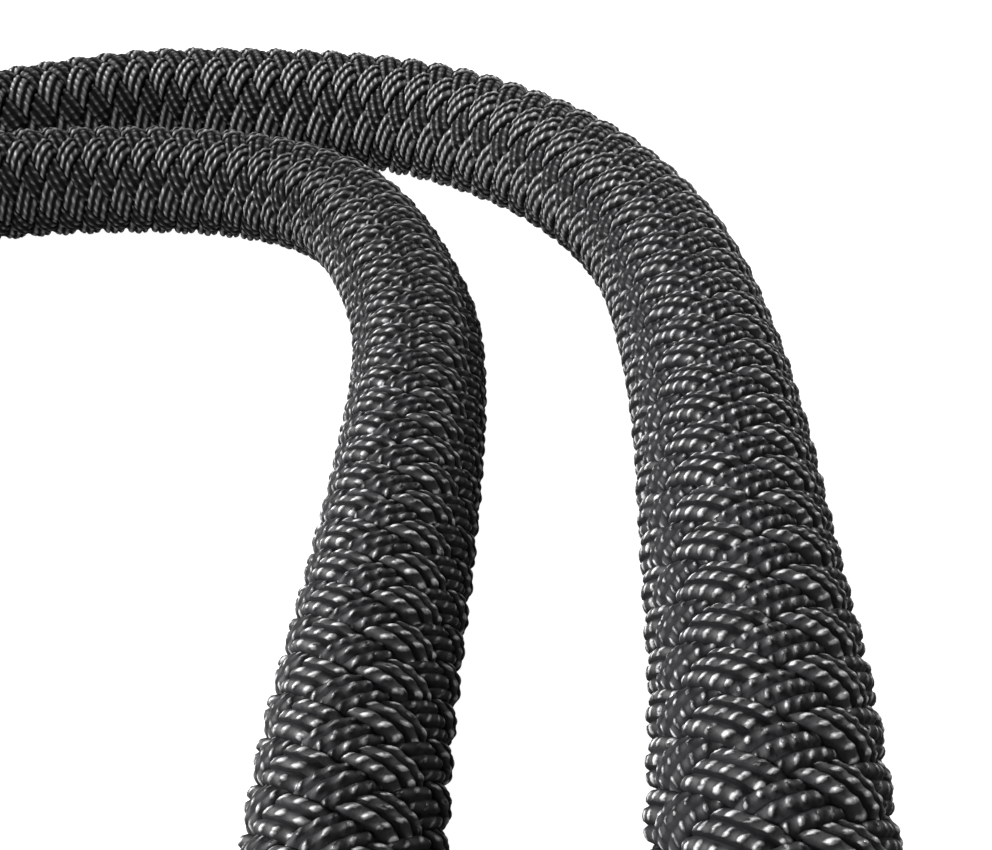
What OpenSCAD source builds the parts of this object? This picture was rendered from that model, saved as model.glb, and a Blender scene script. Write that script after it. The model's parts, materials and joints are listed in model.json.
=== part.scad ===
// Two-leg dogbone power adapter: one 50 A plug feeds a thick braided leg with a 30 A
// connector and a thin braided leg with a 20 A connector. Each head is a split housing
// with its own insert, contacts, wires, cord clamp, boot and folding bail.
// Each head is drawn with its face at y = 0, its cord leaving along +Y and the resting
// surface at z = 0, and is then moved to its place by at_plug, at_large or at_small.

/* [Cords] */
// Thick leg's diameter over its braid
thick_d = 20; // [19:0.25:20]
// Thin leg's diameter over its braid
thin_d = 17; // [16:0.25:17]
// Sides of the plain cord tubes
cord_sides = 12; // [8:2:12]

/* [Plug] */
// Diameter of the plug's round face
plug_face_d = 54; // [53:0.5:55]
// Width of the plug's housing at its rear
plug_w = 74; // [73:0.5:75]
// Height of the plug's housing at its rear
plug_h = 40; // [39.5:0.5:41]
// Length of the plug's housing
plug_len = 70; // [70:0.5:71]
// Distance between the two cord exits
exit_gap = 28; // [28:0.25:28.5]
// Reach of the flat blades in front of the face
blade_reach = 25; // [22:0.5:26]
// Reach of the ground pin in front of the face
pin_reach = 28; // [26:0.5:28]
// Diameter of the ground pin
pin_d = 4.8; // [4.7:0.05:4.8]

/* [Connectors] */
// Diameter of the 30 A connector's flange
large_d = 56; // [55.5:0.5:56]
// Length of the 30 A connector's housing
large_len = 72; // [71:0.5:73]
// Diameter of the 20 A connector's flange
small_d = 44; // [43.5:0.5:44]
// Length of the 20 A connector's housing
small_len = 62; // [61.5:0.5:62.5]
// Depth that the finger grip is sunk below the flange
grip_step = 3.5; // [3.4:0.1:3.6]

/* [Housing details] */
// Thickness of the moulded walls
wall = 3; // [2.8:0.1:3]
// Length of each boot behind its housing
boot_len = 32; // [30:1:34]
// Diameter of the ground holes in the connector faces
ground_hole_d = 5.2; // [5.1:0.05:5.4]

/* [Bails] */
// Tilt of a folded bail above the cord
bail_tilt = 45; // [44:1:48]
// Diameter of the bail's rod
bail_rod_d = 6.8; // [6:0.2:7]
// Diameter of the pins that the bails turn on
bail_pin_d = 6; // [5.6:0.1:6]
// Radial clearance of a bail's eye on its pin
bail_clearance = 0.05; // [0.03:0.01:0.08]

/* [Hidden] */
$fn = 48;

black = [0.06, 0.06, 0.065];
soft_black = [0.1, 0.1, 0.1];
insert_grey = [0.72, 0.72, 0.7];
brass = [0.78, 0.6, 0.3];
steel = [0.7, 0.71, 0.73];
grip_yellow = [0.85, 0.62, 0.1];
eps = 0.01;

// Both routes run from inside the plug to inside their connector. The middle lies on the
// surface in one wide bend, and each end rises to its housing's height.
thick_route = [[-83, 151, 20], [-65, 151, 20], [-48, 151, 20], [-32, 151, 20],
  [-18, 151, 18], [-5, 152, 13.5], [6, 154, 11], [16, 157.5, 10], [29.5, 163, 10],
  [43.5, 166.5, 10], [58.5, 166.5, 10], [73, 165, 10], [87, 161, 10], [99.5, 153.5, 10],
  [110, 143.5, 10], [118, 131, 10], [123, 117.5, 10], [125, 103, 10], [125.5, 88.5, 10],
  [125, 73.5, 10], [124, 59, 10], [123, 44.5, 10], [121, 30, 10], [120, 15.5, 10.5],
  [121, 0, 14], [124, -17, 20], [127.5, -32, 25.5], [129, -46, 28], [129, -61, 28],
  [129, -76, 28], [129, -94, 28]];
thin_route = [[-83, 123, 20], [-65, 123, 20], [-48, 123, 20], [-32, 123, 20],
  [-18, 124, 17.5], [-5, 127.5, 12.5], [7, 133, 10], [19.5, 139, 9], [33.5, 142, 8.5],
  [49.5, 142, 8.5], [64.5, 139, 8.5], [77.5, 130.5, 8.5], [85, 117, 8.5],
  [89.5, 102, 8.5], [90.5, 86.5, 8.5], [90, 71, 8.5], [89, 55.5, 8.5], [88, 39.5, 8.5],
  [88, 24, 8.5], [86.5, 9, 8.5], [83.5, -6, 8.5], [79.5, -22, 9.5], [75, -38, 13],
  [70.5, -55, 18], [67.5, -71, 21.5], [66, -89, 22], [66, -105, 22], [66, -121.5, 22],
  [66, -139, 22]];

// Where the heads lie: the rear face of each housing, on its centre line
plug_rear = [-65, 137];
large_rear = [129, -76];
small_rear = [66, -121.5];

// The plug
plug_face_z = plug_face_d / 2;
plug_exit_z = 20;
plug_insert_r = plug_face_d / 2 - 3;
flange_len = 14;
insert_len = 12;
blade_t = 1.65;
blade_w = 12.7;
hot_x = 12;
neutral_z = -14;
ground_z = 13.5;
pin_shank_r = 3;
tail_end = 34;
plug_side = plug_w / 2;

// Every head
boot_wall = 3.5;
boot_lip = 1;
cord_inside = 18;
clamp_from = 16;
clamp_to = 9;
clamp_wall = 1.6;
clamp_screw_r = 1.2;
clamp_head_r = 1.9;
pin_from_rear = 18;
pin_boss_r = 6;
pin_boss_step = 1.2;
eye_t = 5.6;
eye_r = 6.6;
eye_gap = 0.4;
pin_head_t = 1.8;
stop_r = 1.8;
screw_r = 1.4;
screw_head_r = 2.7;

// Distance from a housing's centre to the middle of a bail's eye
function eye_x(side) = side + pin_boss_step + eye_gap + eye_t / 2;

// Moves a head from its own axes to its place
module at_plug() {
  translate([plug_rear.x - plug_len, plug_rear.y, 0]) rotate([0, 0, -90]) children();
}
module at_large() {
  translate([large_rear.x, large_rear.y - large_len, 0]) children();
}
module at_small() {
  translate([small_rear.x, small_rear.y - small_len, 0]) children();
}

// A profile of [radius, y] points turned about the Y axis at height z
module turned(profile, z = 0) {
  translate([0, 0, z]) rotate([-90, 0, 0]) rotate_extrude() polygon(profile);
}
// A cylinder along Y, from y0 to y1
module rod_y(r, y0, y1, x = 0, z = 0) {
  translate([x, y0, z]) rotate([-90, 0, 0]) cylinder(r = r, h = y1 - y0);
}
// A cylinder along X, from x0 to x1
module rod_x(r, x0, x1, y = 0, z = 0) {
  translate([x0, y, z]) rotate([0, 90, 0]) cylinder(r = r, h = x1 - x0);
}
// A block between two corners
module block(low, high) {
  translate(low) cube(high - low);
}
module both_sides() {
  children();
  mirror([1, 0, 0]) children();
}

// ---- Tubes swept along points ----
function unit(v) = v / norm(v);
function direction(points, i) =
  unit(points[min(i + 1, len(points) - 1)] - points[max(i - 1, 0)]);
function side_of(d) = unit(cross(d, abs(d.z) > 0.9 ? [1, 0, 0] : [0, 0, 1]));
function ring(p, d, r, sides) =
  let (a = side_of(d), b = cross(a, d))
  [for (k = [0 : sides - 1]) p + r * (cos(360 * k / sides) * a + sin(360 * k / sides) * b)];
module swept_tube(points, r, sides) {
  last = len(points) - 1;
  rings = [for (i = [0 : last]) each ring(points[i], direction(points, i), r, sides)];
  walls = [for (i = [0 : last - 1], k = [0 : sides - 1])
    let (a = i * sides + k, b = i * sides + (k + 1) % sides)
    each [[a, b, b + sides], [a, b + sides, a + sides]]];
  start_cap = [for (k = [sides - 1 : -1 : 0]) k];
  end_cap = [for (k = [0 : sides - 1]) last * sides + k];
  polyhedron(rings, concat(walls, [start_cap, end_cap]));
}
module cord_thick() {
  color(black) swept_tube(thick_route, thick_d / 2, cord_sides);
}
module cord_thin() {
  color(black) swept_tube(thin_route, thin_d / 2, cord_sides);
}

// ---- Pieces that every head has ----
// Ribbed rubber boot round a cord, from inside the housing's rear wall to its free end
module boot(cord_r, len, x, z) {
  base = cord_r + boot_wall;
  tip = cord_r + 1.8;
  ribs = 4;
  slope = (base - tip) / boot_len;
  rib = boot_len / (2 * ribs + 1);
  steps = [for (i = [0 : ribs - 1])
    let (y = len + rib * (2 * i + 1.5), r = base - slope * (y - len))
    each [[r, y], [r - 1.2, y + 0.4], [r - 1.2, y + rib - 0.4], [r - rib * slope, y + rib]]];
  profile = concat([[cord_r, len - 6], [base + boot_lip, len - 6],
    [base + boot_lip, len - wall],
    [base, len - wall], [base, len + rib]], steps, [[tip, len + boot_len - 0.8],
    [tip - 0.8, len + boot_len], [cord_r, len + boot_len]]);
  translate([x, 0, 0]) turned(profile, z);
}
// Round bosses that the bail's pins go through, and the lugs that a folded bail rests on
module pin_bosses(side, inner, len, z) {
  both_sides() rod_x(pin_boss_r, inner - 0.5, side + pin_boss_step, len - pin_from_rear, z);
}
module pin_bores(side, len, z) {
  reach = side + 20;
  rod_x(bail_pin_d / 2, -reach, reach, len - pin_from_rear, z);
}
module stop_lugs(side, inner, len, z) {
  along = eye_r + 3;
  across = bail_rod_d / 2 + stop_r + 0.3;
  y = len - pin_from_rear + along * cos(bail_tilt) + across * sin(bail_tilt);
  up = along * sin(bail_tilt) - across * cos(bail_tilt);
  both_sides() rod_x(stop_r, inner + 1, eye_x(side) + 1, y, z + up);
}
// The bail folds back over the cord: two eyes, two arms and a cross rod in one piece
module bail(side, arm, len, z) {
  r = bail_rod_d / 2;
  x = eye_x(side);
  corner = 10;
  bore = bail_pin_d / 2 + bail_clearance;
  translate([0, len - pin_from_rear, z]) rotate([bail_tilt, 0, 0]) difference() {
    union() {
      both_sides() {
        rod_x(eye_r, x - eye_t / 2, x + eye_t / 2);
        rod_y(r, 0, arm - corner, x);
        translate([x - corner, arm - corner, 0])
          rotate_extrude(angle = 90) translate([corner, 0]) circle(r);
      }
      rod_x(r, corner - x, x - corner, arm);
    }
    both_sides() rod_x(eye_r + 1, x - eye_t, x - eye_t / 2);
    both_sides() rod_x(eye_r + 1, x + eye_t / 2, x + eye_t);
    both_sides() rod_x(bore, x - eye_t, x + eye_t);
  }
}
// Soft sleeve on the bail's cross rod
module bail_grip(side, arm, sleeve_r, len, z) {
  half = eye_x(side) - 13;
  translate([0, len - pin_from_rear, z]) rotate([bail_tilt, 0, 0]) translate([0, arm, 0])
    rotate([0, 90, 0]) rotate_extrude() polygon([[bail_rod_d / 2, -half],
      [sleeve_r - 1.2, -half], [sleeve_r, 1.2 - half], [sleeve_r, half - 1.2],
      [sleeve_r - 1.2, half], [bail_rod_d / 2, half]]);
}
// Shouldered pins: a shank through the eye and the housing's boss, and a low head outside
module bail_pins(side, len, z) {
  out = eye_x(side) + eye_t / 2 + eye_gap;
  y = len - pin_from_rear;
  both_sides() {
    rod_x(bail_pin_d / 2, side - wall, out, y, z);
    difference() {
      rod_x(bail_pin_d / 2 + 1.8, out, out + pin_head_t, y, z);
      block([out + pin_head_t - 0.8, y - 6, z - 0.6], [out + pin_head_t + 1, y + 6, z + 0.6]);
    }
  }
}
// A pan-head screw along Z, head upwards, its head resting at height z
module screw_up(x, y, z, r, head_r, length) {
  difference() {
    union() {
      translate([x, y, z - length]) cylinder(r = r, h = length);
      translate([x, y, z]) cylinder(r = head_r, h = 1.6);
    }
    block([x - head_r - 1, y - 0.4, z + 0.9], [x + head_r + 1, y + 0.4, z + 3]);
  }
}
// A case screw comes from below: its head sits in the lower shell's deep recess
module case_screw(x, y, z, depth) {
  translate([x, y, z]) mirror([0, 0, 1]) difference() {
    union() {
      translate([0, 0, -depth * 0.65]) cylinder(r = screw_r, h = depth * 1.65 - 1.6);
      translate([0, 0, depth - 1.6]) cylinder(r = screw_head_r, h = 1.6);
    }
    block([-4, -0.4, depth - 0.9], [4, 0.4, depth + 1]);
  }
}
// Clamp screws' places: one beside each cord
function clamp_spots(cords) = concat([cords[0].x - cords[0].y - 3.2],
  [for (i = [0 : 1 : len(cords) - 2])
    (cords[i].x + cords[i].y + cords[i + 1].x - cords[i + 1].y) / 2],
  [cords[len(cords) - 1].x + cords[len(cords) - 1].y + 3.2]);
// The clamp is a bar with an arch over each cord; cords is a list of [x, radius]
module cord_clamp(cords, len, z) {
  spots = clamp_spots(cords);
  y0 = len - clamp_from;
  y1 = len - clamp_to;
  difference() {
    union() {
      block([spots[0] - clamp_head_r, y0, z + 1],
        [spots[len(spots) - 1] + clamp_head_r, y1, z + 3]);
      for (c = cords) rod_y(c.y + clamp_wall, y0, y1, c.x, z);
    }
    block([-60, y0 - 1, z - 30], [60, y1 + 1, z + 1]);
    for (c = cords) rod_y(c.y, y0 - 1, y1 + 1, c.x, z);
    for (x = spots) translate([x, (y0 + y1) / 2, z]) cylinder(r = clamp_screw_r, h = 10);
  }
}
module clamp_screws(cords, len, z) {
  for (x = clamp_spots(cords))
    screw_up(x, len - (clamp_from + clamp_to) / 2, z + 3, clamp_screw_r, clamp_head_r, 8);
}
// The lower shell's half of the clamp: ribs under each cord
module clamp_seat(cords, len, z) {
  spots = clamp_spots(cords);
  difference() {
    block([spots[0] - clamp_head_r, len - clamp_from, z - 60],
      [spots[len(spots) - 1] + clamp_head_r, len - clamp_to, z - 0.5]);
    for (c = cords) rod_y(c.y, len - clamp_from - 1, len - clamp_to + 1, c.x, z);
    for (x = spots) translate([x, len - (clamp_from + clamp_to) / 2, z - 5.2])
      cylinder(r = clamp_screw_r, h = 10);
  }
}

// ---- Round connector ----
function grip_r(r) = r - grip_step;
function cavity_r(r) = r - grip_step - wall;
function boss_x(r) = cavity_r(r) * 0.8;
function boss_r(r) = screw_r + 1.3;
function boss_ys(len) = [27, len - 27];
case_depth = 12;

module connector_solid(r, len, cord_r) {
  g = grip_r(r);
  rear = cord_r + boot_wall + wall;
  turned([[0, 0], [r - 1.5, 0], [r, 1.5], [r, flange_len - 1], [r - 1, flange_len],
    [g, flange_len + 5], [g, len - 10], [rear + 1, len - 1.5], [rear, len], [0, len]], r);
  stop_lugs(g, g - wall, len, r);
  pin_bosses(g, g - wall, len, r);
}
module connector_hollow(r, len, cord_r) {
  c = cavity_r(r);
  base = cord_r + boot_wall;
  turned([[0, -1], [r - 3, -1], [r - 3, 5], [r - 1.6, 5], [r - 1.6, 9], [r - 3, 9],
    [r - 3, insert_len], [c, insert_len], [c, len - 11], [base + boot_lip, len - 6],
    [base + boot_lip, len - wall], [base, len - wall], [base, len + 1], [0, len + 1]], r);
}
module connector_shell(r, len, cord_r) {
  cords = [[0, cord_r]];
  difference() {
    union() {
      difference() {
        connector_solid(r, len, cord_r);
        connector_hollow(r, len, cord_r);
      }
      intersection() {
        turned([[0, insert_len], [grip_r(r) - 1, insert_len], [grip_r(r) - 1, len - 11],
          [cord_r + boot_wall, len - 5], [0, len - 5]], r);
        union() {
          for (y = boss_ys(len)) both_sides()
            translate([boss_x(r), y, 0]) cylinder(r = boss_r(r), h = 2 * r);
          clamp_seat(cords, len, r);
          pin_bosses(grip_r(r), cavity_r(r) - 1, len, r);
        }
      }
    }
    pin_bores(grip_r(r), len, r);
    for (y = boss_ys(len)) both_sides() translate([boss_x(r), y, r]) {
      translate([0, 0, -case_depth]) cylinder(r = screw_r, h = case_depth * 1.65);
      translate([0, 0, -2 * r]) cylinder(r = screw_head_r + 0.1, h = 2 * r - case_depth + 1.6);
    }
  }
}
module connector_lower_shell(r, len, cord_r) {
  color(black) intersection() {
    connector_shell(r, len, cord_r);
    block([-2 * r, -5, -5], [2 * r, len + 5, r]);
  }
}
module connector_upper_shell(r, len, cord_r) {
  color(black) difference() {
    intersection() {
      connector_shell(r, len, cord_r);
      block([-2 * r, -5, r], [2 * r, len + 5, 2 * r + 5]);
    }
    translate([0, lamp_y, r]) cylinder(r = lens_r, h = 2 * r);
  }
}
// The slots are [x, z, tilt] of each blade, from the face's centre
large_slots = [[-9, 4.5, -45], [9, 4.5, 45]];
small_slots = [[-6.35, 4, 0], [6.35, 4, 0]];
large_ground_z = -9.5;
small_ground_z = -7.9;
slot_t = 2;
slot_w = 9;
chamber_t = 4.8;
chamber_w = 10;

module at_slot(slot, r) {
  translate([slot.x, 0, r + slot.y]) rotate([0, slot.z, 0]) children();
}
module connector_insert(r, slots, ground) {
  c = cavity_r(r) - 0.2;
  color(insert_grey) difference() {
    turned([[0, 0.6], [r - 4, 0.6], [r - 3, 1.6], [r - 3, 5], [r - 1.6, 5], [r - 1.6, 9],
      [r - 3, 9], [r - 3, insert_len], [c, insert_len], [c, 20], [0, 20]], r);
    for (s = slots) at_slot(s, r) {
      block([-slot_t / 2, -1, -slot_w / 2], [slot_t / 2, 4, slot_w / 2]);
      block([-chamber_t / 2, 3.6, -chamber_w / 2], [chamber_t / 2, 21, chamber_w / 2]);
    }
    rod_y(ground_hole_d / 2, -1, 5, 0, r + ground);
    rod_y(ground_hole_d / 2 + 1.5, 4.6, 21, 0, r + ground);
  }
}
// A folded brass contact: two leaves, their bridge, and a tail to its terminal screw
module blade_contact(slot, r) {
  color(brass) {
    at_slot(slot, r) difference() {
      block([-chamber_t / 2 + 0.2, 4.6, -chamber_w / 2 + 0.4],
        [chamber_t / 2 - 0.2, 20.5, chamber_w / 2 - 0.4]);
      block([-slot_t / 2, 3, -chamber_w], [slot_t / 2, 18, chamber_w]);
    }
    terminal_tail(slot.x, r + slot.y, 20.2, 33);
  }
}
module terminal_tail(x, z, y0, y1) {
  difference() {
    block([x - 2.9, y0, z - 0.5], [x + 2.9, y1, z + 0.5]);
    translate([x, 28, z - 2]) cylinder(r = screw_r, h = 4);
  }
}
module ground_contact(r, ground) {
  color(brass) {
    difference() {
      rod_y(ground_hole_d / 2 + 1.3, 5.4, 20.5, 0, r + ground);
      rod_y(ground_hole_d / 2, 4, 18, 0, r + ground);
    }
    terminal_tail(0, r + ground, 20.2, 33);
  }
}
module connector_terminal_screws(r, slots, ground) {
  color(steel) {
    for (s = slots) screw_up(s.x, 28, r + s.y + 0.5, screw_r, 2.2, 3);
    screw_up(0, 28, r + ground + 0.5, screw_r, 2.2, 3);
  }
}
module connector_case_screws(r, len) {
  color(steel) for (y = boss_ys(len)) both_sides() case_screw(boss_x(r), y, r, case_depth);
}
// A conductor from its terminal to its place in the cut end of the cord
module connector_wire(from, to, len, wire_r, tint) {
  end = len - cord_inside;
  color(tint) swept_tube([[from.x, 33, from.y], [from.x, 36, from.y],
    [(from.x + to.x) / 2, (36 + end) / 2, (from.y + to.y) / 2], [to.x, end - 2, to.y],
    [to.x, end, to.y]], wire_r, 8);
}
// The power lamp on its small board, and its lens in the upper shell
lamp_y = 25;
lens_r = 2.6;
module connector_lamp(r) {
  z = r + cavity_r(r) - 6.6;
  color("ivory") {
    block([-4.5, 20, z], [4.5, 31, z + 1.2]);
    translate([0, lamp_y, z + 1.2 - eps]) cylinder(r = 1.5, h = 2.6);
  }
}
module connector_lens(r) {
  color("orange") {
    translate([0, lamp_y, r + cavity_r(r) - 0.8]) cylinder(r = lens_r, h = wall + 1.2);
    translate([0, lamp_y, r + grip_r(r) + 0.4]) scale(lens_r / 3) intersection() {
      translate([0, 0, -2]) sphere(3.6);
      cylinder(r = 3, h = 4);
    }
  }
}

// ---- Plug ----
plug_cords = [[-exit_gap / 2, thick_d / 2], [exit_gap / 2, thin_d / 2]];
plug_boss_spots = [[27, 30], [30, 43]];
plug_wire_r = 2.1;
plug_case_depth = 14;

// Outline of the plug's flat rear part, seen from behind, drawn in by inset
module plug_rear_outline(inset) {
  x = plug_side - inset;
  corner = 9 - inset;
  translate([-x, inset + corner]) square([2 * x, plug_h - 2 * inset - 2 * corner]);
  translate([corner - x, inset]) square([2 * (x - corner), plug_h - 2 * inset]);
  for (sx = [corner - x, x - corner], z = [inset + corner, plug_h - inset - corner])
    translate([sx, z]) circle(corner);
}
// A tapered nose behind the round face, and a flat rear part whose shoulders grow from it
module plug_form(inset) {
  nose_r = plug_face_d / 2 - 1.5 - inset;
  shoulder = 24;
  start = insert_len;
  turned([[0, start], [nose_r, start], [nose_r - 6, start + 42], [0, start + 42]],
    plug_face_z);
  intersection() {
    translate([0, plug_len - inset, 0]) rotate([90, 0, 0])
      linear_extrude(plug_len - inset - start) plug_rear_outline(inset);
    turned([[0, start], [nose_r, start], [nose_r + shoulder, start + shoulder],
      [nose_r + shoulder, plug_len + 1], [0, plug_len + 1]], plug_face_z);
  }
}
module plug_shell() {
  difference() {
    union() {
      difference() {
        union() {
          plug_form(0);
          turned([[0, 0], [plug_face_d / 2 - 1.5, 0], [plug_face_d / 2, 1.5],
            [plug_face_d / 2, flange_len - 1], [plug_face_d / 2 - 1, flange_len],
            [0, flange_len]], plug_face_z);
          stop_lugs(plug_side, plug_side - wall, plug_len, plug_exit_z);
          pin_bosses(plug_side, plug_side - wall, plug_len, plug_exit_z);
        }
        plug_form(wall);
        turned([[0, -1], [plug_insert_r, -1], [plug_insert_r, 5], [plug_insert_r + 1.4, 5],
          [plug_insert_r + 1.4, 9], [plug_insert_r, 9], [plug_insert_r, insert_len],
          [plug_insert_r - 2.5, insert_len], [plug_insert_r - 2.5, flange_len + 1],
          [0, flange_len + 1]], plug_face_z);
      }
      intersection() {
        block([-plug_side + 1.5, 20, 1.5], [plug_side - 1.5, plug_len - 1.5, plug_h - 1.5]);
        union() {
          for (spot = plug_boss_spots) both_sides()
            translate([spot.x, spot.y, 1]) cylinder(r = 3, h = plug_h - 2.5);
          clamp_seat(plug_cords, plug_len, plug_exit_z);
          pin_bosses(plug_side, plug_side - wall - 1.5, plug_len, plug_exit_z);
        }
      }
    }
    for (c = plug_cords) {
      rod_y(c.y + boot_wall, plug_len - wall, plug_len + 1, c.x, plug_exit_z);
      rod_y(c.y + boot_wall + boot_lip, plug_len - 6, plug_len - wall, c.x, plug_exit_z);
    }
    pin_bores(plug_side, plug_len, plug_exit_z);
    for (spot = plug_boss_spots) both_sides() translate([spot.x, spot.y, plug_exit_z]) {
      translate([0, 0, -plug_case_depth]) cylinder(r = screw_r, h = plug_case_depth * 1.65);
      translate([0, 0, -2 * plug_exit_z])
        cylinder(r = screw_head_r + 0.1, h = 2 * plug_exit_z - plug_case_depth + 1.6);
    }
  }
}
module plug_lower_shell() {
  color(black) at_plug() intersection() {
    plug_shell();
    block([-60, -5, -5], [60, plug_len + 5, plug_exit_z]);
  }
}
module plug_upper_shell() {
  color(black) at_plug() intersection() {
    plug_shell();
    block([-60, -5, plug_exit_z], [60, plug_len + 5, 70]);
  }
}
// A blade with chamfered tip corners, from its tip to the end of its terminal tail
module plug_blade(x, z) {
  translate([x - blade_t / 2, 0, z]) rotate([90, 0, 90]) linear_extrude(blade_t)
    polygon([[1.5 - blade_reach, -blade_w / 2], [16, -blade_w / 2], [16, -4], [tail_end, -4],
      [tail_end, 4], [16, 4], [16, blade_w / 2], [1.5 - blade_reach, blade_w / 2],
      [-blade_reach, blade_w / 2 - 2.5], [-blade_reach, 2.5 - blade_w / 2]]);
}
module plug_line_blades() {
  color(brass) at_plug() both_sides() plug_blade(hot_x, plug_face_z);
}
module plug_neutral_blade() {
  color(brass) at_plug() plug_blade(0, plug_face_z + neutral_z);
}
// A round pin with a rounded tip and a thicker shank inside the insert
module plug_ground_pin() {
  z = plug_face_z + ground_z;
  r = pin_d / 2;
  color(brass) at_plug() {
    turned([[0, -pin_reach], [r - 1.2, -pin_reach], [r - 0.3, 0.8 - pin_reach],
      [r, 2 - pin_reach], [r, 0.6], [pin_shank_r, 0.6], [pin_shank_r, 16], [0, 16]], z);
    block([-4, 15, z - 0.8], [4, tail_end, z + 0.8]);
  }
}
module plug_insert() {
  r = plug_insert_r;
  z = plug_face_z;
  color(insert_grey) at_plug() difference() {
    turned([[0, 0.6], [r - 1, 0.6], [r, 1.6], [r, 5], [r + 1.4, 5], [r + 1.4, 9], [r, 9],
      [r, insert_len], [r - 2.5, insert_len], [r - 2.5, 15], [0, 15]], z);
    both_sides() block([hot_x - blade_t / 2, -1, z - blade_w / 2],
      [hot_x + blade_t / 2, 16, z + blade_w / 2]);
    block([-blade_t / 2, -1, z + neutral_z - blade_w / 2],
      [blade_t / 2, 16, z + neutral_z + blade_w / 2]);
    rod_y(pin_shank_r, -1, 16, 0, z + ground_z);
    block([-4, 15 - eps, z + ground_z - 0.8], [4, 16, z + ground_z + 0.8]);
  }
}
// Terminal screws lie along X on the blades, and along Z on the ground pin's tail
module plug_terminal_screws() {
  z = plug_face_z;
  color(steel) at_plug() {
    both_sides() {
      rod_x(2.6, hot_x - blade_t / 2 - 1.8, hot_x - blade_t / 2, 27, z);
      rod_x(2.6, hot_x + blade_t / 2, hot_x + blade_t / 2 + 1.2, 27, z);
    }
    rod_x(2.6, blade_t / 2, blade_t / 2 + 1.8, 27, z + neutral_z);
    translate([0, 27, z + ground_z - 0.8 - 1.8]) cylinder(r = 2.6, h = 1.8);
  }
}
module plug_case_screws() {
  color(steel) at_plug() for (spot = plug_boss_spots) both_sides()
    case_screw(spot.x, spot.y, plug_exit_z, plug_case_depth);
}
module plug_cord_clamp() {
  color(steel) at_plug() cord_clamp(plug_cords, plug_len, plug_exit_z);
}
module plug_clamp_screws() {
  color(steel) at_plug() clamp_screws(plug_cords, plug_len, plug_exit_z);
}
// Wire places in a cord's cut end, from its centre, with out towards the nearer side
line_place = [4.6, -2.4];
neutral_place = [-4.4, -2.6];
ground_place = [0, 5];
module plug_wires(start, place, tint) {
  end = plug_len - cord_inside;
  color(tint) at_plug() both_sides() {
    finish = [exit_gap / 2 + place.x, plug_exit_z + place.y];
    swept_tube([[start.x, tail_end, start.y], [start.x, tail_end + 3, start.y],
      [(start.x + finish.x) / 2, (tail_end + end) / 2 + 1, (start.y + finish.y) / 2],
      [finish.x, end - 2, finish.y], [finish.x, end, finish.y]], plug_wire_r, 8);
  }
}
module plug_line_wires() {
  plug_wires([hot_x, plug_face_z], line_place, soft_black);
}
module plug_neutral_wires() {
  plug_wires([2.4, plug_face_z + neutral_z], neutral_place, "white");
}
module plug_ground_wires() {
  plug_wires([2.4, plug_face_z + ground_z], ground_place, "green");
}
module plug_thick_boot() {
  color(soft_black) at_plug() boot(thick_d / 2, plug_len, -exit_gap / 2, plug_exit_z);
}
module plug_thin_boot() {
  color(soft_black) at_plug() boot(thin_d / 2, plug_len, exit_gap / 2, plug_exit_z);
}
plug_arm = 46;
plug_sleeve_r = 6;
module plug_bail() {
  color(black) at_plug() bail(plug_side, plug_arm, plug_len, plug_exit_z);
}
module plug_bail_grip() {
  color(grip_yellow) at_plug()
    bail_grip(plug_side, plug_arm, plug_sleeve_r, plug_len, plug_exit_z);
}
module plug_bail_pins() {
  color(steel) at_plug() bail_pins(plug_side, plug_len, plug_exit_z);
}

// ---- 30 A connector ----
large_r = large_d / 2;
large_arm = 42;
large_sleeve_r = 6;
large_cords = [[0, thick_d / 2]];
module large_lower_shell() {
  at_large() connector_lower_shell(large_r, large_len, thick_d / 2);
}
module large_upper_shell() {
  at_large() connector_upper_shell(large_r, large_len, thick_d / 2);
}
module large_insert() {
  at_large() connector_insert(large_r, large_slots, large_ground_z);
}
module large_line_contact() {
  at_large() blade_contact(large_slots[1], large_r);
}
module large_neutral_contact() {
  at_large() blade_contact(large_slots[0], large_r);
}
module large_ground_contact() {
  at_large() ground_contact(large_r, large_ground_z);
}
module large_case_screws() {
  at_large() connector_case_screws(large_r, large_len);
}
module large_terminal_screws() {
  at_large() connector_terminal_screws(large_r, large_slots, large_ground_z);
}
module large_cord_clamp() {
  color(steel) at_large() cord_clamp(large_cords, large_len, large_r);
}
module large_clamp_screws() {
  color(steel) at_large() clamp_screws(large_cords, large_len, large_r);
}
module large_wire(x, z, place, tint) {
  at_large() connector_wire([x, large_r + z], [place.x, large_r + place.y], large_len, 2, tint);
}
module large_line_wire() {
  large_wire(large_slots[1].x, large_slots[1].y, [4.6, 2.6], soft_black);
}
module large_neutral_wire() {
  large_wire(large_slots[0].x, large_slots[0].y, [-4.6, 2.6], "white");
}
module large_ground_wire() {
  large_wire(0, large_ground_z, [0, -5], "green");
}
module large_boot() {
  color(soft_black) at_large() boot(thick_d / 2, large_len, 0, large_r);
}
module large_lamp() {
  at_large() connector_lamp(large_r);
}
module large_lens() {
  at_large() connector_lens(large_r);
}
module large_bail() {
  color(black) at_large() bail(grip_r(large_r), large_arm, large_len, large_r);
}
module large_bail_grip() {
  color(grip_yellow) at_large()
    bail_grip(grip_r(large_r), large_arm, large_sleeve_r, large_len, large_r);
}
module large_bail_pins() {
  color(steel) at_large() bail_pins(grip_r(large_r), large_len, large_r);
}

// ---- 20 A connector ----
small_r = small_d / 2;
small_arm = 40;
small_sleeve_r = 5.5;
small_cords = [[0, thin_d / 2]];
module small_lower_shell() {
  at_small() connector_lower_shell(small_r, small_len, thin_d / 2);
}
module small_upper_shell() {
  at_small() connector_upper_shell(small_r, small_len, thin_d / 2);
}
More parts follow.
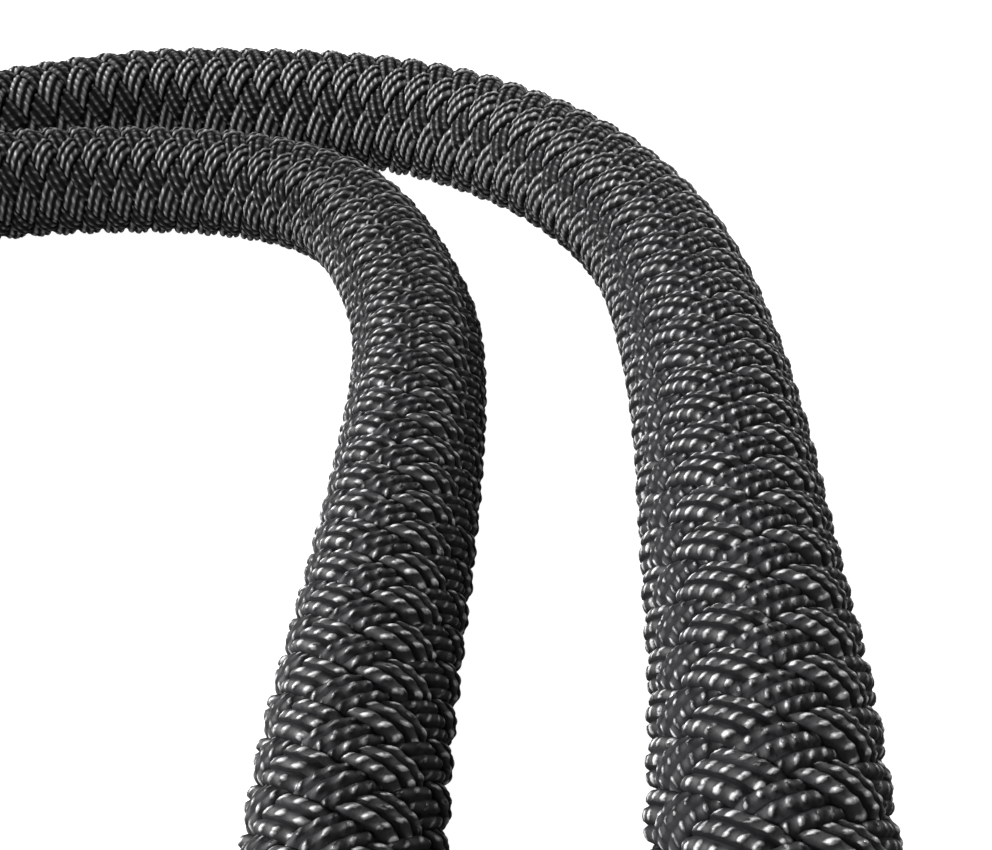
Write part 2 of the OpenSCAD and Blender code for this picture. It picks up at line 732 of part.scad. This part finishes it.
// One slot is T-shaped, so that a blade turned a quarter round fits too
module small_insert() {
  color(insert_grey) at_small() difference() {
    connector_insert(small_r, small_slots, small_ground_z);
    at_slot(small_slots[0], small_r) block([-6, -1, -slot_t / 2], [0, 4, slot_t / 2]);
  }
}
module small_line_contact() {
  at_small() blade_contact(small_slots[1], small_r);
}
module small_neutral_contact() {
  at_small() blade_contact(small_slots[0], small_r);
}
module small_ground_contact() {
  at_small() ground_contact(small_r, small_ground_z);
}
module small_case_screws() {
  at_small() connector_case_screws(small_r, small_len);
}
module small_terminal_screws() {
  at_small() connector_terminal_screws(small_r, small_slots, small_ground_z);
}
module small_cord_clamp() {
  color(steel) at_small() cord_clamp(small_cords, small_len, small_r);
}
module small_clamp_screws() {
  color(steel) at_small() clamp_screws(small_cords, small_len, small_r);
}
module small_wire(x, z, place, tint) {
  at_small() connector_wire([x, small_r + z], [place.x, small_r + place.y], small_len, 1.7,
    tint);
}
module small_line_wire() {
  small_wire(small_slots[1].x, small_slots[1].y, [3.8, 2.2], soft_black);
}
module small_neutral_wire() {
  small_wire(small_slots[0].x, small_slots[0].y, [-3.8, 2.2], "white");
}
module small_ground_wire() {
  small_wire(0, small_ground_z, [0, -4.2], "green");
}
module small_boot() {
  color(soft_black) at_small() boot(thin_d / 2, small_len, 0, small_r);
}
module small_lamp() {
  at_small() connector_lamp(small_r);
}
module small_lens() {
  at_small() connector_lens(small_r);
}
module small_bail() {
  color(black) at_small() bail(grip_r(small_r), small_arm, small_len, small_r);
}
module small_bail_grip() {
  color(grip_yellow) at_small()
    bail_grip(grip_r(small_r), small_arm, small_sleeve_r, small_len, small_r);
}
module small_bail_pins() {
  color(steel) at_small() bail_pins(grip_r(small_r), small_len, small_r);
}

cord_thick();
cord_thin();
plug_lower_shell();
plug_upper_shell();
plug_insert();
plug_line_blades();
plug_neutral_blade();
plug_ground_pin();
plug_case_screws();
plug_terminal_screws();
plug_cord_clamp();
plug_clamp_screws();
plug_line_wires();
plug_neutral_wires();
plug_ground_wires();
plug_thick_boot();
plug_thin_boot();
plug_bail();
plug_bail_grip();
plug_bail_pins();
large_lower_shell();
large_upper_shell();
large_insert();
large_line_contact();
large_neutral_contact();
large_ground_contact();
large_case_screws();
large_terminal_screws();
large_cord_clamp();
large_clamp_screws();
large_line_wire();
large_neutral_wire();
large_ground_wire();
large_boot();
large_lamp();
large_lens();
large_bail();
large_bail_grip();
large_bail_pins();
small_lower_shell();
small_upper_shell();
small_insert();
small_line_contact();
small_neutral_contact();
small_ground_contact();
small_case_screws();
small_terminal_screws();
small_cord_clamp();
small_clamp_screws();
small_line_wire();
small_neutral_wire();
small_ground_wire();
small_boot();
small_lamp();
small_lens();
small_bail();
small_bail_grip();
small_bail_pins();
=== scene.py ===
"""Looks of the two-leg dogbone power adapter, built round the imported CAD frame. Metres."""

import json
import math

import bpy
import numpy as np
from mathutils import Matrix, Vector


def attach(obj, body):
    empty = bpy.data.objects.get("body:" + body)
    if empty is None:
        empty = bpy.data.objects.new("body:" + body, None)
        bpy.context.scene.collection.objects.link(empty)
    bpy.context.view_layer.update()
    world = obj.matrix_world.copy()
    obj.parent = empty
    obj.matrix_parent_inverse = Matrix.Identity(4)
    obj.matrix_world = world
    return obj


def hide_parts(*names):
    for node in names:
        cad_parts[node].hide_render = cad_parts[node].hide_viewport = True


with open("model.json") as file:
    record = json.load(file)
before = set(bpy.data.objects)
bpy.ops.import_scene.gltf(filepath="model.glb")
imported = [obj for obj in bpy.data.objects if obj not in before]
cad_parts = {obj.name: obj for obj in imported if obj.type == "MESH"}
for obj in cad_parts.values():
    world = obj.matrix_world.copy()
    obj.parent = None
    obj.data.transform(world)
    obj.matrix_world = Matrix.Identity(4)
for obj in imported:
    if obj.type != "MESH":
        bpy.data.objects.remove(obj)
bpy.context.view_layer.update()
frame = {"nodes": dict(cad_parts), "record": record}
nodes = frame["nodes"]
MM = 0.001

# ---------------------------------------------------------------- camera
CAMERA_FOOT = (0.100, -0.004)
CAMERA_HEIGHT = 0.0862
CAMERA_DOWN = 41.73  # degrees below level
CAMERA_LENS = 36.3


def make_camera():
    """A normal lens close above the near ends of the legs, looking along them and down."""
    data = bpy.data.cameras.new("camera")
    data.lens = CAMERA_LENS
    data.sensor_width = 36.0
    data.clip_start = 0.005
    data.clip_end = 20.0
    camera = bpy.data.objects.new("camera", data)
    camera.location = (*CAMERA_FOOT, CAMERA_HEIGHT)
    camera.rotation_euler = (math.radians(90 - CAMERA_DOWN), 0, 0)
    bpy.context.scene.collection.objects.link(camera)
    bpy.context.scene.camera = camera


# ---------------------------------------------------------------- the cords' lines
# The routes' points are the CAD model's own, in millimetres.
THICK_ROUTE = [
    (-83, 151, 20), (-65, 151, 20), (-48, 151, 20), (-32, 151, 20), (-18, 151, 18),
    (-5, 152, 13.5), (6, 154, 11), (16, 157.5, 10), (29.5, 163, 10), (43.5, 166.5, 10),
    (58.5, 166.5, 10), (73, 165, 10), (87, 161, 10), (99.5, 153.5, 10), (110, 143.5, 10),
    (118, 131, 10), (123, 117.5, 10), (125, 103, 10), (125.5, 88.5, 10), (125, 73.5, 10),
    (124, 59, 10), (123, 44.5, 10), (121, 30, 10), (120, 15.5, 10.5), (121, 0, 14),
    (124, -17, 20), (127.5, -32, 25.5), (129, -46, 28), (129, -61, 28), (129, -76, 28),
    (129, -94, 28),
]  # fmt: skip
THIN_ROUTE = [
    (-83, 123, 20), (-65, 123, 20), (-48, 123, 20), (-32, 123, 20), (-18, 124, 17.5),
    (-5, 127.5, 12.5), (7, 133, 10), (19.5, 139, 9), (33.5, 142, 8.5), (49.5, 142, 8.5),
    (64.5, 139, 8.5), (77.5, 130.5, 8.5), (85, 117, 8.5), (89.5, 102, 8.5),
    (90.5, 86.5, 8.5), (90, 71, 8.5), (89, 55.5, 8.5), (88, 39.5, 8.5), (88, 24, 8.5),
    (86.5, 9, 8.5), (83.5, -6, 8.5), (79.5, -22, 9.5), (75, -38, 13), (70.5, -55, 18),
    (67.5, -71, 21.5), (66, -89, 22), (66, -105, 22), (66, -121.5, 22), (66, -139, 22),
]  # fmt: skip


def unit(v):
    return v / np.linalg.norm(v, axis=-1, keepdims=True)


def spline(t, y, at):
    """A natural cubic spline through (t, y)."""
    n, h = len(t), np.diff(t)
    system, right = np.eye(n), np.zeros(n)
    for i in range(1, n - 1):
        system[i, i - 1 : i + 2] = h[i - 1], 2 * (h[i - 1] + h[i]), h[i]
        right[i] = 6 * ((y[i + 1] - y[i]) / h[i] - (y[i] - y[i - 1]) / h[i - 1])
    m = np.linalg.solve(system, right)
    i = np.clip(np.searchsorted(t, at) - 1, 0, n - 2)
    a, b, w = t[i + 1] - at, at - t[i], h[i]
    return (
        (m[i] * a**3 + m[i + 1] * b**3) / (6 * w)
        + (y[i] / w - m[i] * w / 6) * a
        + (y[i + 1] / w - m[i + 1] * w / 6) * b
    )


class Line:
    """A smooth curve through a route, with level sides at every length along it.

    It runs on straight past both ends, where the strands are cut aslant.
    """

    def __init__(self, route, extra=8 * MM, step=0.25 * MM):
        points = np.array(route, float) * MM
        chords = np.r_[0, np.cumsum(np.linalg.norm(np.diff(points, axis=0), axis=1))]
        dense = np.linspace(0, chords[-1], 12000)
        curve = np.stack([spline(chords, points[:, k], dense) for k in range(3)], 1)
        run = np.r_[0, np.cumsum(np.linalg.norm(np.diff(curve, axis=0), axis=1))]
        self.length = run[-1]
        within = np.arange(0, self.length, step)
        middle = np.stack([np.interp(within, run, curve[:, k]) for k in range(3)], 1)
        before = np.arange(-extra, 0, step)
        beyond = np.arange(step, extra, step)
        start = middle[0] + before[:, None] * unit(middle[1] - middle[0])
        end = curve[-1] + beyond[:, None] * unit(middle[-1] - middle[-2])
        self.lengths = np.r_[before, within, self.length + beyond]
        self.centres = np.concatenate([start, middle, end])
        along = unit(np.gradient(self.centres, axis=0))
        side = unit(np.cross(along, (0, 0, 1)))
        self.table = np.concatenate([self.centres, side, np.cross(side, along)], 1)

    def centre(self, lengths, axes=(0, 1, 2)):
        """Points of the line itself, or only some of their coordinates."""
        return np.stack([np.interp(lengths, self.lengths, self.centres[:, k]) for k in axes], 1)

    def around(self, lengths, angles, radii):
        """Points at these lengths, angles from the top and distances from the line."""
        flat = lengths.ravel()
        found = [np.interp(flat, self.lengths, column) for column in self.table.T]
        centre, side, up = (np.stack(found[i : i + 3], 1) for i in (0, 3, 6))
        angle, radius = angles.ravel()[:, None], radii.ravel()[:, None]
        return centre + radius * (np.cos(angle) * up + np.sin(angle) * side)


# ---------------------------------------------------------------- braided cords
CARRIERS = 12  # strands round a cord, half of them laid each way
PITCH = 1.41  # length of one turn of a strand, in cord diameters
HALF_WIDTH = 0.505  # half a strand's width in spacings, so that neighbours just touch
YARNS = 3  # side by side in a strand
YARN_CUTS = 5  # faces across a yarn
CORE_RADIUS = 0.36  # in cord diameters

# Heights in millimetres on a cord of this diameter; they grow with the cord.
MODEL_DIAMETER = 20
STRAND_RADIUS = 7.9  # from the cord's line to a strand's middle
WEAVE = 0.68  # how far a strand rises over its neighbours and dips under them
STRAND_CROWN = 0.75
STRAND_DEPTH = 0.9
YARN_CROWN = 0.38
SHADED_STRAND_SINK = 0.12  # how much lower the strands with painted shade lie, and the others higher
FLAT_CROSSING = 1.6  # the higher this is, the flatter a strand lies over a crossing

# Unevenness of the yarns.
TWIST_HEIGHT = 0.12  # of the crests that the twist makes, in millimetres
CREST_SLANT = 0.25  # turns from a yarn's middle to its side
LAY_SPREAD = (0.93, 1.07)
DRIFT, DRIFT_LENGTH = 0.2, 1.7  # turns, millimetres
SWELL, SWELL_LENGTH = 0.05, 9  # share of the weave, millimetres
ANY_ANGLE = 6  # radians, about one turn

# Spacing of the cuts along a strand, in millimetres.
HIDDEN_STEP, CLOSE_STEP, OTHER_STEP = 0.6, 0.2, 0.45
HIDDEN_LIFT = -0.45  # a strand is hidden where it dips lower than this, of -1 to 1
CLOSE_Y = (-0.02, 0.19)  # the stretch that is seen from close by, in metres

SHADED_STRAND_U = 8  # added to the yarn coordinate of the strands that get painted shade
SHADED_STRAND_ABOVE = 6.0  # the material paints shade on any yarn coordinate above this


def strand_lengths(line, turn, sense, slope):
    """Lengths to cut a strand at: close together where it lies on top and is seen close by."""
    tick = 0.05 * MM
    lengths = np.arange(0, line.length, tick)
    x, y = line.centre(lengths, (0, 1)).T
    hidden = sense * np.cos(CARRIERS / 2 * turn * lengths) < HIDDEN_LIFT
    close = (y > CLOSE_Y[0]) & (y < CLOSE_Y[1]) & (x > 0)
    step = np.where(hidden, HIDDEN_STEP, np.where(close, CLOSE_STEP, OTHER_STEP)) * MM * slope
    count = np.cumsum(tick / step)
    return np.interp(np.arange(1, int(count[-1])), count, lengths)


def tube_faces(rings, sides, first):
    """The quads and the two end caps of a tube of rings of points."""
    along = np.arange(rings - 1)[:, None] * sides
    here = np.arange(sides)
    beside = (here + 1) % sides
    corners = [along + here, along + beside, along + sides + beside, along + sides + here]
    quads = np.stack(corners, -1).reshape(-1, 4) + first
    return quads, [first + here[::-1], first + (rings - 1) * sides + here]


def braid(line, diameter, lay, seed):
    """The points, yarn coordinates, quads and caps of strands that pass over and under.

    Each strand is a flat tube with a few twisted yarns along its top.
    """
    rng = np.random.default_rng(seed)
    size = diameter / (MODEL_DIAMETER * MM)
    radius, weave, crown, depth, yarn_crown, sink = (
        size * v * MM
        for v in (STRAND_RADIUS, WEAVE, STRAND_CROWN, STRAND_DEPTH, YARN_CROWN, SHADED_STRAND_SINK)
    )
    each_way = CARRIERS // 2
    turn = 2 * np.pi / (PITCH * diameter)
    slant = math.atan(turn * radius)
    half_width = HALF_WIDTH * PITCH * diameter / each_way * math.sin(slant)

    # a ring round a strand: over the yarns, where `bulge` runs -1 to 1 on each, then below
    bulge = np.concatenate([np.linspace(-1, 1, YARN_CUTS + 1)[:-1]] * YARNS + [[1.0]])
    yarn = np.minimum(np.arange(len(bulge)) // YARN_CUTS, YARNS - 1)
    over = half_width * (2 * (yarn + (bulge + 1) / 2) / YARNS - 1)
    under = half_width * np.array([0.9, 0.5, 0.0, -0.5, -0.9])
    across = np.r_[over, under]
    top, ring = len(over), len(across)
    strand_top = crown * np.sqrt(np.clip(1 - np.abs(over / half_width) ** 2.2, 0, 1))
    strand_under = -depth * np.sqrt(1 - (under / half_width) ** 2)
    yarn_top = np.sqrt(np.clip(1 - bulge**2, 0, 1))
    yarn_place = np.r_[yarn + (bulge + 1) / 2, YARNS * (under > 0)]

    points, places, quads, caps, first = [], [], [], [], 0
    for sense in (1, -1):
        length = strand_lengths(line, turn, sense, math.cos(slant))[:, None]
        run = length / math.cos(slant)
        for strand in range(each_way):
            angle = sense * turn * length + 2 * np.pi * strand / each_way
            lengths = length - sense * math.sin(slant) * across
            angles = angle + math.cos(slant) * across / radius
            crossing = (angles + sense * turn * lengths) / (2 * np.pi / each_way)
            lift = sense * np.cos(np.pi * (crossing + strand))
            lift = np.tanh(FLAT_CROSSING * lift) / math.tanh(FLAT_CROSSING)
            phase = rng.uniform(0, 1, YARNS)[yarn]
            laid = lay * rng.uniform(*LAY_SPREAD, YARNS)[yarn]
            drift = DRIFT * np.sin(run / (DRIFT_LENGTH * MM) + ANY_ANGLE * phase)
            turns = run / laid + phase + drift + CREST_SLANT * bulge
            crest = 2 * np.abs(np.cos(np.pi * turns)) - 1
            relief = np.zeros((len(length), ring))
            relief[:, :top] = strand_top + yarn_top * (yarn_crown + TWIST_HEIGHT * MM * crest)
            relief[:, top:] = strand_under
            swell = 1 + SWELL * np.sin(run / (SWELL_LENGTH * MM) + rng.uniform(0, ANY_ANGLE))
            radii = radius - sense * sink + weave * lift * swell + relief
            points.append(line.around(lengths, angles, radii))

            # the strands laid one way are marked here for painted shade in the material
            u = yarn_place + SHADED_STRAND_U * (sense > 0) + 0 * length
            v = np.c_[turns, run / lay + 0 * under]
            places.append(np.stack([u, v], -1).reshape(-1, 2))
            faces, ends = tube_faces(len(length), ring, first)
            quads.append(faces)
            caps += ends
            first += len(length) * ring
    return np.concatenate(points), np.concatenate(places), np.concatenate(quads), caps


def core(line, radius, first):
    """The points, quads and caps of a plain tube inside the strands."""
    sides, step, end = 16, 3 * MM, 2 * MM
    length = np.arange(end, line.length - end, step)[:, None]
    angle = np.linspace(0, 2 * np.pi, sides, endpoint=False)[None, :]
    every = 0 * length + 0 * angle
    points = line.around(length + every, angle + every, radius + every)
    return points, *tube_faces(len(length), sides, first)


def mesh_object(name, verts, quads, caps=(), uv=None):
    """A smooth-shaded object from arrays: quads, then end caps of any length."""
    mesh = bpy.data.meshes.new(name)
    loops = np.concatenate([quads.ravel(), *caps]).astype(np.int32)
    sizes = np.r_[np.full(len(quads), 4), [len(c) for c in caps]].astype(np.int32)
    mesh.vertices.add(len(verts))
    mesh.vertices.foreach_set("co", verts.astype(np.float32).ravel())
    mesh.loops.add(len(loops))
    mesh.loops.foreach_set("vertex_index", loops)
    mesh.polygons.add(len(sizes))
    starts = np.r_[0, np.cumsum(sizes)[:-1]].astype(np.int32)
    mesh.polygons.foreach_set("loop_start", starts)
    mesh.polygons.foreach_set("use_smooth", np.ones(len(sizes), bool))
    mesh.update(calc_edges=True)
    if uv is not None:
        layer = mesh.uv_layers.new(name="yarn")
        layer.data.foreach_set("uv", uv[loops].astype(np.float32).ravel())
    obj = bpy.data.objects.new(name, mesh)
    bpy.context.scene.collection.objects.link(obj)
    return obj


def make_cord(name, node, route, diameter, lay, seed, material):
    """One braided cord with its core, in place of its CAD node."""
    line = Line(route)
    verts, uv, quads, caps = braid(line, diameter, lay, seed)
    inside, inside_quads, inside_caps = core(line, CORE_RADIUS * diameter, len(verts))
    verts = np.concatenate([verts, inside])
    uv = np.concatenate([uv, np.zeros((len(inside), 2))])
    quads = np.concatenate([quads, inside_quads])
    obj = mesh_object(name, verts, quads, caps + inside_caps, uv)
    obj.data.materials.append(material)
    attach(obj, "root")
    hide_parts(node)


# ---------------------------------------------------------------- building materials
class Shading:
    """A node tree under construction. An input is given as a value or as an output to link."""

    def __init__(self, tree):
        self.tree = tree

    def feed(self, socket, given):
        if isinstance(given, bpy.types.NodeSocket):
            self.tree.links.new(given, socket)
        else:
            socket.default_value = given

    def add(self, kind, **inputs):
        node = self.tree.nodes.new(kind)
        for name, given in inputs.items():
            self.feed(node.inputs[name.replace("_", " ")], given)
        return node

    def math(self, operation, *inputs, kind="ShaderNodeMath"):
        node = self.add(kind)
        node.operation = operation
        for socket, given in zip(node.inputs, inputs):
            self.feed(socket, given)
        return node.outputs["Value"]

    def spread(self, given, low, high, before=(0.0, 1.0)):
        """The stretch `before` of a value, carried over to low to high."""
        start, end = before
        limits = {"From_Min": start, "From_Max": end, "To_Min": low, "To_Max": high}
        return self.add("ShaderNodeMapRange", Value=given, **limits).outputs["Result"]

    def noise(self, place, scale, detail):
        node = self.add("ShaderNodeTexNoise", Vector=place, Scale=scale, Detail=detail)
        return node.outputs["Fac"]

    def scaled(self, place, scale):
        return self.add("ShaderNodeMapping", Vector=place, Scale=scale).outputs["Vector"]

    def shades(self, given, stops, colors):
        """A ramp through these colours, each at its stop."""
        node = self.add("ShaderNodeValToRGB", Fac=given)
        ramp = node.color_ramp.elements
        for stop in stops[1:-1]:
            ramp.new(stop)
        for element, stop, color in zip(ramp, stops, colors):
            element.position = stop
            element.color = (*color, 1)
        return node.outputs["Color"]


def new_material(name, color, roughness, metallic=0.0, **inputs):
    """A Principled material, its shading and the shader's sockets."""
    material = bpy.data.materials.new(name)
    material.use_nodes = True
    sockets = material.node_tree.nodes["Principled BSDF"].inputs
    sockets["Base Color"].default_value = (*color, 1)
    sockets["Roughness"].default_value = roughness
    sockets["Metallic"].default_value = metallic
    for socket, value in inputs.items():
        sockets[socket.replace("_", " ")].default_value = value
    return material, Shading(material.node_tree), sockets


# ---------------------------------------------------------------- yarn
# the yarn's black body colour, and the painted highlight colour of its crests
YARN_BODY_AND_PAINTED_HIGHLIGHT = ((0.012, 0.012, 0.013), (0.44, 0.44, 0.445))
YARN_STOPS = (0.12, 0.5)
FAR_Y = (0.07, 0.15)  # over this stretch along y the painted highlight dots give way to a painted sheen, as the yarns get too far off to be told apart
# painted sheen: how far it takes over from the dots at the far end, and how bright it is
FAR_EVENNESS = 0.65
PAINTED_SHEEN_LEVEL = 0.42
PAINTED_SHADE_LOSS = 0.42  # painted shade on the strands laid one way: how much their colour and gloss are cut


def yarn_material():
    """Twisted satin yarn with painted highlights, a painted sheen and painted shade in its
    colour: U counts the yarns across the strand, V counts a yarn's turns.
    """
    material, shading, sockets = new_material("black_yarn", (0.03, 0.03, 0.031), 0.36)
    where = shading.add("ShaderNodeTexCoord").outputs
    filaments = shading.noise(shading.scaled(where["UV"], (2.4, 1.5, 1)), 1.0, 4.0)
    grain = shading.spread(filaments, 0.12, 0.85, before=(0.35, 0.65))

    # one crest for each turn, highest on the crown of its yarn and lowest in the grooves; it
    # shapes the bump and places the painted highlights
    yarn = shading.add("ShaderNodeSeparateXYZ", Vector=where["UV"]).outputs
    swing = shading.math("COSINE", shading.math("MULTIPLY", yarn["Y"], math.pi))
    crest = shading.math("POWER", swing, 4.0)
    bulge = shading.math("SINE", shading.math("MULTIPLY", yarn["X"], math.pi))
    crown = shading.math("POWER", bulge, 2.0)
    dot = shading.math("MULTIPLY", crest, crown)
    relief = shading.math("MULTIPLY_ADD", grain, 0.25, dot)
    bump = shading.add("ShaderNodeBump", Height=relief, Distance=0.18 * MM)
    shading.feed(sockets["Normal"], bump.outputs["Normal"])

    # painted highlights: single dots nearby, an even painted sheen on the yarns' crowns in the
    # far half
    place = shading.add("ShaderNodeSeparateXYZ", Vector=where["Object"]).outputs
    far = shading.spread(place["Y"], 0.0, FAR_EVENNESS, before=FAR_Y)
    # painted sheen: the crowns of the far yarns are made lighter
    painted_sheen = shading.math("MULTIPLY", shading.math("MULTIPLY", far, crown), PAINTED_SHEEN_LEVEL)
    near = shading.math("SUBTRACT", 1.0, far)
    # painted highlight: a bright dot on each crest of the twist, near by
    painted_glints = shading.math("MULTIPLY", shading.math("MULTIPLY", dot, grain), near)
    # painted shade: the strands laid one way get a darker colour and less gloss
    shaded_strand = shading.math("GREATER_THAN", yarn["X"], SHADED_STRAND_ABOVE)
    painted_shade_factor = shading.math("MULTIPLY_ADD", shaded_strand, -PAINTED_SHADE_LOSS, 1.0)
    level = shading.math("MULTIPLY", shading.math("ADD", painted_glints, painted_sheen), painted_shade_factor)
    # the colour carries the painted highlights, the painted sheen and the painted shade
    shading.feed(sockets["Base Color"], shading.shades(level, YARN_STOPS, YARN_BODY_AND_PAINTED_HIGHLIGHT))
    shading.feed(sockets["Roughness"], shading.spread(dot, 0.75, 0.3))
    gloss = shading.spread(shading.math("MULTIPLY", crown, painted_shade_factor), 0.03, 0.6)
    shading.feed(sockets["Specular IOR Level"], gloss)
    return material


# ---------------------------------------------------------------- the CAD nodes' materials
BLOTCH_SCALE = 90.0
BLOTCH_SHARE = 0.8
SHADE_STOPS = (0.22, 0.5, 0.9)
EDGE_TURN = (0.995, 0.8)  # cosines between which an edge goes from plain to worn
EDGE_WEAR = 0.55


def surface(
    name, colors, rough, grain, depth, metallic=0.0, stretch=(1, 1, 1), edge=0.4 * MM, **inputs
):
    """Fine grain in the bump, slow blotches in the colour, and worn, rounded edges."""
    material, shading, sockets = new_material(name, colors[1], rough[1], metallic, **inputs)
    where = shading.add("ShaderNodeTexCoord").outputs["Object"]
    fine = shading.noise(shading.scaled(where, [grain * v for v in stretch]), 1.0, 4.0)
    broad = shading.noise(where, BLOTCH_SCALE, 6.0)

    rounded = shading.add("ShaderNodeBevel", Radius=edge)
    rounded.samples = 6
    soft = rounded.outputs["Normal"]
    sharp = shading.add("ShaderNodeNewGeometry").outputs["Normal"]
    turned = shading.math("DOT_PRODUCT", soft, sharp, kind="ShaderNodeVectorMath")
    worn = shading.spread(turned, 0.0, EDGE_WEAR, before=EDGE_TURN)
    level = shading.math("MULTIPLY_ADD", broad, BLOTCH_SHARE, worn)
    shading.feed(sockets["Base Color"], shading.shades(level, SHADE_STOPS, colors))
    shading.feed(sockets["Roughness"], shading.spread(fine, *rough, before=(0.3, 0.7)))
    bump = shading.add("ShaderNodeBump", Height=fine, Distance=depth, Normal=soft)
    shading.feed(sockets["Normal"], bump.outputs["Normal"])
    return material


BLACK = ((0.016, 0.016, 0.017), (0.026, 0.026, 0.027), (0.075, 0.075, 0.078))
ZINC = ((0.36, 0.36, 0.37), (0.52, 0.52, 0.54), (0.72, 0.72, 0.74))
LOOKS = {
    "housing": dict(colors=BLACK, rough=(0.42, 0.62), grain=2600, depth=0.05 * MM, edge=0.9 * MM),
    "insert": dict(
        colors=((0.30, 0.29, 0.27), (0.40, 0.39, 0.36), (0.55, 0.54, 0.50)),
        rough=(0.38, 0.52), grain=3200, depth=0.02 * MM,
    ),
    "brass": dict(
        colors=((0.45, 0.27, 0.09), (0.74, 0.53, 0.22), (0.93, 0.76, 0.42)),
        rough=(0.20, 0.38), grain=900, depth=0.02 * MM, metallic=1.0, stretch=(0.08, 4, 4),
    ),
    "contact_brass": dict(
        colors=((0.35, 0.21, 0.08), (0.66, 0.46, 0.20), (0.88, 0.70, 0.38)),
        rough=(0.26, 0.45), grain=1800, depth=0.02 * MM, metallic=1.0,
    ),
    "steel": dict(colors=ZINC, rough=(0.28, 0.45), grain=2400, depth=0.02 * MM, metallic=1.0),
    "pin_steel": dict(
        colors=((0.42, 0.42, 0.43), (0.58, 0.58, 0.60), (0.80, 0.80, 0.82)),
        rough=(0.18, 0.34), grain=1200, depth=0.015 * MM, metallic=1.0, stretch=(4, 0.1, 4),
    ),
    "clamp": dict(colors=ZINC, rough=(0.34, 0.55), grain=1500, depth=0.03 * MM, metallic=1.0),
    "line_wire": dict(colors=BLACK, rough=(0.36, 0.46), grain=1800, depth=0.02 * MM),
    "neutral_wire": dict(
        colors=((0.60, 0.60, 0.57), (0.74, 0.74, 0.71), (0.86, 0.86, 0.84)),
        rough=(0.36, 0.46), grain=1800, depth=0.02 * MM,
    ),
    "ground_wire": dict(
        colors=((0.012, 0.17, 0.045), (0.02, 0.26, 0.07), (0.08, 0.42, 0.18)),
        rough=(0.36, 0.46), grain=1800, depth=0.02 * MM,
    ),
    "boot_rubber": dict(
        colors=((0.014, 0.014, 0.014), (0.022, 0.022, 0.022), (0.06, 0.06, 0.06)),
        rough=(0.6, 0.8), grain=1600, depth=0.05 * MM, edge=0.7 * MM, Sheen_Weight=0.15,
    ),
    "lamp": dict(
        colors=((0.46, 0.43, 0.30), (0.72, 0.69, 0.55), (0.88, 0.86, 0.78)),
        rough=(0.3, 0.5), grain=2500, depth=0.02 * MM, edge=0.2 * MM,
    ),
    "lens": dict(
        colors=((0.75, 0.17, 0.01), (0.90, 0.30, 0.03), (1.0, 0.52, 0.16)),
        rough=(0.05, 0.16), grain=700, depth=0.02 * MM, Transmission_Weight=0.75,
    ),
    "bail": dict(
        colors=BLACK, rough=(0.4, 0.56), grain=1500, depth=0.04 * MM, stretch=(0.25, 1.6, 1.6)
    ),
    "grip": dict(
        colors=((0.50, 0.28, 0.012), (0.68, 0.42, 0.025), (0.80, 0.58, 0.12)),
        rough=(0.55, 0.75), grain=1900, depth=0.05 * MM, Sheen_Weight=0.2,
    ),
}  # fmt: skip


def dress_nodes(yarn):
    """Each CAD node's material, by the slot that its record names."""
    looks = {name: surface(name, **look) for name, look in LOOKS.items()}
    looks["braid"] = yarn
    for part in frame["record"]["subparts"]:
        mesh = nodes[part["node"]].data
        mesh.materials.clear()
        mesh.materials.append(looks[part["material_slot"]])


# ---------------------------------------------------------------- floor and light
WHITE = (1, 1, 1, 1)
FLOOR_REACH = 6
# name, place, aim, side of the square, watts
LIGHTS = (
    ("key", (-0.88, 0.16, 0.34), (0.06, 0.05, 0), 0.25, 33),
    ("fill", (-0.25, -0.45, 0.75), (0, 0.15, 0), 0.5, 6),
    ("rim", (0.85, 0.8, 0.2), (0.12, 0.05, 0), 0.2, 8),
)


def camera_level(shading, others, seen):
    """One level where the camera looks and another for the light that falls on the object."""
    camera_ray = shading.add("ShaderNodeLightPath").outputs["Is Camera Ray"]
    return shading.spread(camera_ray, others, seen)


def make_stage():
    corners = np.array([(-1, -1, 0), (1, -1, 0), (1, 1, 0), (-1, 1, 0)], float)
    floor = mesh_object("floor", FLOOR_REACH * corners, np.array([[0, 1, 2, 3]]))
    material, shading, sockets = new_material("pale_floor", (0.35, 0.35, 0.35), 0.9)
    sockets["Emission Color"].default_value = WHITE
    shading.feed(sockets["Emission Strength"], camera_level(shading, 0.12, 1.0))
    floor.data.materials.append(material)


def make_world():
    world = bpy.data.worlds.new("studio")
    world.use_nodes = True
    shading = Shading(world.node_tree)
    sky = world.node_tree.nodes["Background"].inputs
    sky["Color"].default_value = WHITE
    shading.feed(sky["Strength"], camera_level(shading, 0.1, 1.0))
    bpy.context.scene.world = world


def area_light(name, place, aim, side, power):
    data = bpy.data.lights.new(name, "AREA")
    data.size = side
    data.energy = power
    lamp = bpy.data.objects.new(name, data)
    lamp.location = place
    way = Vector(aim) - Vector(place)
    lamp.rotation_euler = way.to_track_quat("-Z", "Y").to_euler()
    bpy.context.scene.collection.objects.link(lamp)


# ---------------------------------------------------------------- the scene
make_camera()
black_yarn = yarn_material()
make_cord("thick_braid", "cord_thick", THICK_ROUTE, 20 * MM, 1.05 * MM, 3, black_yarn)
make_cord("thin_braid", "cord_thin", THIN_ROUTE, 17 * MM, 1.3 * MM, 5, black_yarn)
dress_nodes(black_yarn)
make_stage()
make_world()
for light in LIGHTS:
    area_light(*light)
bpy.context.scene.view_settings.view_transform = "Standard"
